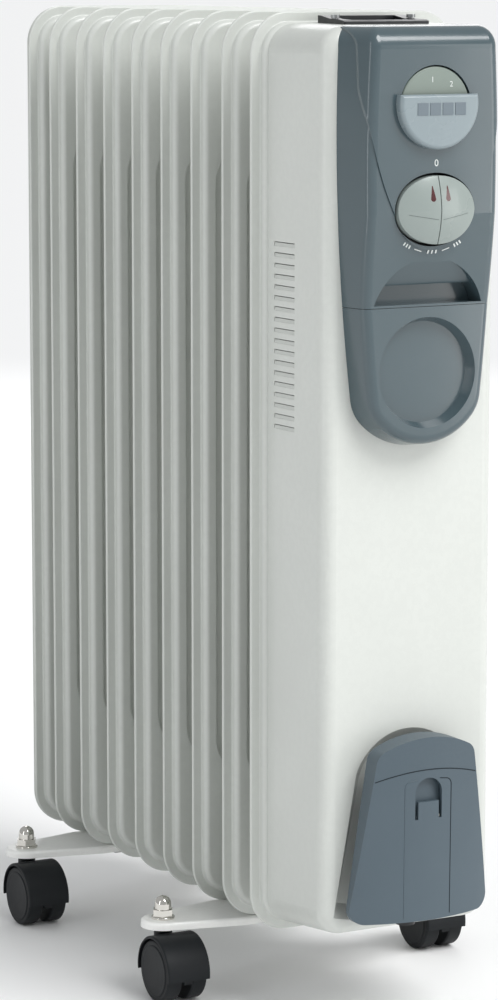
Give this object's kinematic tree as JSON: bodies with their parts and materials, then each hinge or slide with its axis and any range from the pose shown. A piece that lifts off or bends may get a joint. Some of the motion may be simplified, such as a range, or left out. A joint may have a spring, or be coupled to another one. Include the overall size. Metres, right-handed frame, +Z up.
{
  "type": "oil filled radiator heater",
  "caption": "Upright oil filled radiator with stamped fins, a control cover with dial and twin rockers, a cord tidy and swivelling twin-wheel casters.",
  "frame": {"origin": "on the floor under the middle of the object", "axes": "+Z up, the control panel faces -Y, the fins stand across Y and their width runs along X"},
  "size_m": [0.24, 0.4416, 0.63],
  "materials": {
    "enamel": "satin white-grey enamel",
    "panel_plastic": "gloss",
    "tidy_plastic": "satin",
    "hood_plastic": "gloss",
    "dial_plastic": "satin",
    "switch_plastic": "satin",
    "red_lens": "gloss",
    "black_plastic": "satin",
    "caster_plastic": "satin",
    "chrome": "polished",
    "steel": "zinc plated",
    "brass": "machined",
    "bakelite": "matt",
    "wire_sleeve": "matt"
  },
  "bodies": {
    "heater": {"fin_1": "enamel", "fin_2": "enamel", "fin_3": "enamel", "fin_4": "enamel", "fin_5": "enamel", "fin_6": "enamel", "fin_7": "enamel", "fin_8": "enamel", "fin_9": "enamel", "rear_end_plate": "enamel", "header_collars": "enamel", "header_plugs": "steel", "heating_element": "steel", "element_flange": "brass", "heat_shield": "steel", "thermal_cutout": "steel", "terminal_block": "bakelite", "front_cover": "enamel", "cord_gland": "black_plastic", "upper_panel": "panel_plastic", "lower_panel": "panel_plastic", "control_chassis": "steel", "thermostat_body": "bakelite", "dial_hood": "hood_plastic", "rocker_pivot": "steel", "switch_frame": "black_plastic", "switch_bodies": "black_plastic", "cord_plate": "tidy_plastic", "cord_hub": "tidy_plastic", "carry_grip": "black_plastic", "casing_screws": "steel", "front_bracket": "enamel", "rear_bracket": "enamel", "u_bolts": "steel", "wing_nuts": "steel", "cap_nuts": "chrome", "caster_stems": "steel", "wiring": "wire_sleeve"},
    "dial": {"thermostat_dial": "dial_plastic", "thermostat_shaft": "steel"},
    "left_switch": {"left_rocker": "switch_plastic", "left_lens": "red_lens"},
    "right_switch": {"right_rocker": "switch_plastic", "right_lens": "red_lens"},
    "caster_front_left": {"caster_housing_front_left": "caster_plastic"},
    "wheels_front_left": {"caster_wheels_front_left": "caster_plastic", "caster_axle_front_left": "steel"},
    "caster_front_right": {"caster_housing_front_right": "caster_plastic"},
    "wheels_front_right": {"caster_wheels_front_right": "caster_plastic", "caster_axle_front_right": "steel"},
    "caster_rear_left": {"caster_housing_rear_left": "caster_plastic"},
    "wheels_rear_left": {"caster_wheels_rear_left": "caster_plastic", "caster_axle_rear_left": "steel"},
    "caster_rear_right": {"caster_housing_rear_right": "caster_plastic"},
    "wheels_rear_right": {"caster_wheels_rear_right": "caster_plastic", "caster_axle_rear_right": "steel"}
  },
  "joints": [
    {"name": "thermostat_turn", "type": "hinge", "parent": "heater", "child": "dial", "pos_m": [0, -0.21188, 0.5742], "axis": [0, -1, 0], "range_deg": [-270, 0]},
    {"name": "left_rocker_tilt", "type": "hinge", "parent": "heater", "child": "left_switch", "pos_m": [-0.01, -0.20239, 0.5128], "axis": [1, 0, 0], "range_deg": [0, 8]},
    {"name": "right_rocker_tilt", "type": "hinge", "parent": "heater", "child": "right_switch", "pos_m": [0.01, -0.20239, 0.5128], "axis": [1, 0, 0], "range_deg": [0, 8]},
    {"name": "swivel_front_left", "type": "hinge", "parent": "heater", "child": "caster_front_left", "pos_m": [-0.105, -0.05459, 0.04], "axis": [0, 0, 1], "continuous": true},
    {"name": "roll_front_left", "type": "hinge", "parent": "caster_front_left", "child": "wheels_front_left", "pos_m": [-0.105, -0.06958, 0.02], "axis": [1, 0, 0], "continuous": true},
    {"name": "swivel_front_right", "type": "hinge", "parent": "heater", "child": "caster_front_right", "pos_m": [0.105, -0.05459, 0.04], "axis": [0, 0, 1], "continuous": true},
    {"name": "roll_front_right", "type": "hinge", "parent": "caster_front_right", "child": "wheels_front_right", "pos_m": [0.105, -0.03959, 0.02], "axis": [1, 0, 0], "continuous": true},
    {"name": "swivel_rear_left", "type": "hinge", "parent": "heater", "child": "caster_rear_left", "pos_m": [-0.105, 0.15641, 0.04], "axis": [0, 0, 1], "continuous": true},
    {"name": "roll_rear_left", "type": "hinge", "parent": "caster_rear_left", "child": "wheels_rear_left", "pos_m": [-0.105, 0.14142, 0.02], "axis": [1, 0, 0], "continuous": true},
    {"name": "swivel_rear_right", "type": "hinge", "parent": "heater", "child": "caster_rear_right", "pos_m": [0.105, 0.15641, 0.04], "axis": [0, 0, 1], "continuous": true},
    {"name": "roll_rear_right", "type": "hinge", "parent": "caster_rear_right", "child": "wheels_rear_right", "pos_m": [0.105, 0.17142, 0.02], "axis": [1, 0, 0], "continuous": true}
  ]
}
